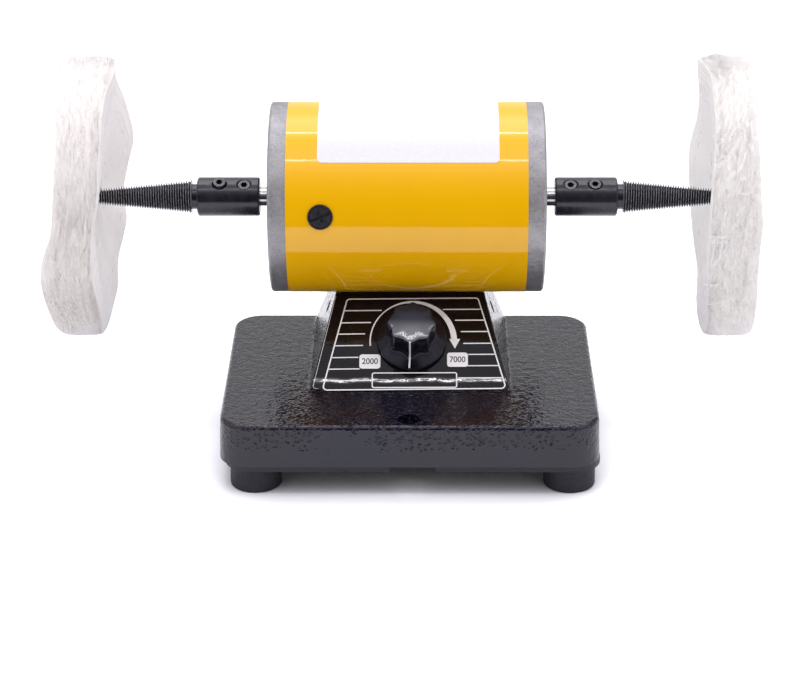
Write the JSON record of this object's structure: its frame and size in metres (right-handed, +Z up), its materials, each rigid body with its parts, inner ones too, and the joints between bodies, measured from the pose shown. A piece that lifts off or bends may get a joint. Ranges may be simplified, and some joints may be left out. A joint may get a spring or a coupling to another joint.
{
  "type": "dental polishing lathe",
  "caption": "Bench polishing lathe with a tubular motor on a cast base, a speed knob on a sloping panel, and a cotton buff on the tapered arbor at each end of its shaft.",
  "frame": {"origin": "centre of the bounding box on the bench: midway along the spindle, with the feet standing on Z = 0", "axes": "+X along the spindle to the right as seen from the speed knob, +Y to the rear, +Z up"},
  "size_m": [0.2834, 0.1458, 0.1551],
  "materials": {
    "black_hammer_paint": "gloss hammer paint with fine pits",
    "black_sheet_steel": "semi-gloss",
    "black_rubber": "matt",
    "zinc_steel": "bright zinc plate",
    "yellow_enamel": "high gloss",
    "grey_cast_aluminium": "bead-blasted casting",
    "white_label": "gloss film",
    "ferrite": "ground",
    "spring_steel": "bright",
    "bearing_steel": "ground and polished",
    "brass_metal": "plain",
    "shaft_steel": "ground",
    "lamination_steel": "varnished",
    "copper_wire": "enamelled copper",
    "commutator_copper": "turned",
    "brown_bakelite": "moulded",
    "black_bakelite": "moulded, glossy",
    "carbon": "matt",
    "black_oxide_steel": "black oxide, oiled",
    "cotton": "sewn cotton plies",
    "black_overlay": "satin film with white scale",
    "green_laminate": "solder mask",
    "black_epoxy": "moulded",
    "bare_aluminium": "extruded",
    "yellow_plastic": "moulded box",
    "fuse_glass": "clear",
    "green_plastic": "moulded",
    "red_insulation": "silicone"
  },
  "bodies": {
    "frame": {"cast_base": "black_hammer_paint", "bottom_cover": "black_sheet_steel", "rubber_feet": "black_rubber", "foot_washers": "zinc_steel", "foot_screws": "zinc_steel", "cord_bush": "black_rubber", "motor_tube": "yellow_enamel", "left_end_bell": "grey_cast_aluminium", "right_end_bell": "grey_cast_aluminium", "data_label": "white_label", "through_bolts": "zinc_steel", "motor_mounting_screws": "zinc_steel", "motor_spring_washers": "zinc_steel", "magnet_segments": "ferrite", "magnet_clips": "spring_steel", "bearing_outer_rings": "bearing_steel", "bearing_shields": "zinc_steel", "bearing_preload_washer": "spring_steel", "brush_holders": "black_bakelite", "brush_guides": "brass_metal", "brush_caps": "black_bakelite", "front_brush_spring": "spring_steel", "rear_brush_spring": "spring_steel", "panel_overlay": "black_overlay", "potentiometer": "zinc_steel", "potentiometer_nut": "zinc_steel", "potentiometer_washer": "zinc_steel", "control_board": "green_laminate", "board_standoffs": "brass_metal", "board_screws": "zinc_steel", "power_triac": "black_epoxy", "heat_sink": "bare_aluminium", "bridge_rectifier": "black_epoxy", "suppression_capacitor": "yellow_plastic", "filter_choke": "copper_wire", "board_fuse": "fuse_glass", "terminal_block": "green_plastic", "lead_bush": "black_rubber", "motor_leads": "red_insulation", "potentiometer_leads": "red_insulation"},
    "spindle": {"motor_shaft": "shaft_steel", "armature_core": "lamination_steel", "armature_windings": "copper_wire", "commutator": "commutator_copper", "commutator_hub": "brown_bakelite", "bearing_inner_rings": "bearing_steel", "bearing_balls": "bearing_steel", "bearing_cages": "brass_metal", "left_arbor": "black_oxide_steel", "right_arbor": "black_oxide_steel", "arbor_set_screws": "black_oxide_steel"},
    "left_wheel": {"left_buff": "cotton"},
    "right_wheel": {"right_buff": "cotton"},
    "knob": {"speed_knob": "black_bakelite", "knob_set_screw": "zinc_steel", "potentiometer_shaft": "shaft_steel"},
    "front_brush": {"front_carbon_brush": "carbon"},
    "rear_brush": {"rear_carbon_brush": "carbon"}
  },
  "joints": [
    {"name": "spindle_spin", "type": "hinge", "parent": "frame", "child": "spindle", "pos_m": [0, 0.01445, 0.0966], "axis": [1, 0, 0], "continuous": true},
    {"name": "left_buff_unscrew", "type": "slide", "parent": "spindle", "child": "left_wheel", "axis": [-1, 0, 0], "range_m": [0, 0.015]},
    {"name": "right_buff_unscrew", "type": "slide", "parent": "spindle", "child": "right_wheel", "axis": [1, 0, 0], "range_m": [0, 0.015]},
    {"name": "speed_knob_turn", "type": "hinge", "parent": "frame", "child": "knob", "pos_m": [0.0019, -0.01939, 0.04501], "axis": [0, 0.5864, -0.81], "range_deg": [0, 300]},
    {"name": "front_brush_slide", "type": "slide", "parent": "frame", "child": "front_brush", "axis": [0, -0.989, 0.1478], "range_m": [0, 0.004], "stiffness_N_per_m": 80, "springref_m": -0.0125, "deforming": ["front_brush_spring"]},
    {"name": "rear_brush_slide", "type": "slide", "parent": "frame", "child": "rear_brush", "axis": [0, 0.989, -0.1478], "range_m": [0, 0.004], "stiffness_N_per_m": 80, "springref_m": -0.0125, "deforming": ["rear_brush_spring"]}
  ]
}
